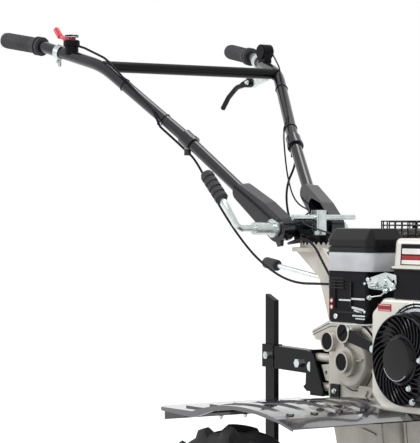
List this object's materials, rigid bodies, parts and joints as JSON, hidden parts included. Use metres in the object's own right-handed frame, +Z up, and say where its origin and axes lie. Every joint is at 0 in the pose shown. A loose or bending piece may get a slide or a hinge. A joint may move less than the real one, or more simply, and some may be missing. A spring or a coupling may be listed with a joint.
{
  "type": "hand tractor",
  "caption": "Walk-behind two-wheel tractor with petrol engine, cast gearbox, adjustable handlebar, fenders, rear hitch with depth stake and fold-down parking stand.",
  "frame": {"origin": "on the floor, under the middle of the machine", "axes": "+X forward, +Y to the machine left, +Z up"},
  "size_m": [1.4887, 0.848, 1.2066],
  "materials": {
    "cast_aluminium": "as cast, bead blasted",
    "engine_aluminium": "as cast",
    "black_paint": "satin powder coat",
    "fender_paint": "gloss black enamel",
    "cream_paint": "gloss enamel",
    "rim_paint": "gloss enamel",
    "zinc": "bright zinc plated",
    "steel": "turned",
    "muffler_steel": "heat-resistant paint",
    "black_rubber": "moulded, ribbed",
    "tyre": "cross-ply tractor tread",
    "black_plastic": "moulded, fine grain",
    "gloss_black": "moulded, gloss",
    "grey_plastic": "moulded",
    "red_plastic": "moulded",
    "cable_sheath": "extruded sheath"
  },
  "bodies": {
    "chassis": {"air_filter_bowl": "grey_plastic", "air_filter_cover": "gloss_black", "bearing_caps": "black_plastic", "bumper": "black_paint", "carburettor": "engine_aluminium", "carburettor_cover": "black_plastic", "clutch_arm": "black_paint", "clutch_housing": "cast_aluminium", "control_box": "black_plastic", "engine_bed": "black_paint", "engine_block": "engine_aluminium", "fan_shroud": "cream_paint", "fender_brackets": "black_paint", "fender_left": "fender_paint", "fender_right": "fender_paint", "fuel_cap": "black_plastic", "fuel_tank": "cream_paint", "gearbox_left": "cast_aluminium", "gearbox_right": "cast_aluminium", "hitch_arm": "black_paint", "hitch_bracket": "black_paint", "hitch_pins": "zinc", "muffler": "muffler_steel", "muffler_guard": "black_paint", "recoil_cover": "black_plastic", "shift_cover": "cast_aluminium", "shift_knob": "black_rubber", "shift_lever": "zinc", "steering_post": "cast_aluminium", "tail_cables": "cable_sheath", "tank_bracket": "black_paint", "throttle_linkage": "zinc", "toothed_ring": "cast_aluminium"},
    "steering_head": {"swivel_bracket": "black_paint", "swivel_lock": "zinc", "drop_cables": "cable_sheath"},
    "handlebar": {"right_bar": "black_paint", "left_bar": "black_paint", "crossbar": "black_paint", "bar_brackets": "black_paint", "bar_collars": "black_paint", "grips": "black_rubber", "tilt_lock": "zinc", "lock_grip": "black_rubber", "throttle_lever": "red_plastic", "throttle_housing": "black_plastic", "control_clamps": "zinc", "clutch_lever": "black_paint", "stop_switch": "black_plastic", "bar_cables": "cable_sheath"},
    "wheels": {"tyre_right": "tyre", "tyre_left": "tyre", "rims": "rim_paint", "wheel_hubs": "black_paint", "axle_shaft": "steel"},
    "parking_stand": {"parking_stand": "black_paint"},
    "depth_stake": {"depth_stake": "black_paint"}
  },
  "joints": [
    {"name": "wheel_spin", "type": "hinge", "parent": "chassis", "child": "wheels", "pos_m": [0.25825, 0, 0.203], "axis": [0, 1, 0], "continuous": true},
    {"name": "handlebar_swivel", "type": "hinge", "parent": "chassis", "child": "steering_head", "pos_m": [0.03025, 0, 0.765], "axis": [0, 0, 1], "range_deg": [-30, 30], "deforming": ["tail_cables"]},
    {"name": "handlebar_height", "type": "hinge", "parent": "steering_head", "child": "handlebar", "pos_m": [-0.01175, 0, 0.765], "axis": [0, 1, 0], "range_deg": [-15, 10], "deforming": ["drop_cables"]},
    {"name": "parking_stand_fold", "type": "hinge", "parent": "chassis", "child": "parking_stand", "pos_m": [0.68825, 0, 0.373], "axis": [0, 1, 0], "range_deg": [0, 75]},
    {"name": "depth_stake_height", "type": "slide", "parent": "chassis", "child": "depth_stake", "axis": [0, 0, 1], "range_m": [0, 0.04]}
  ]
}
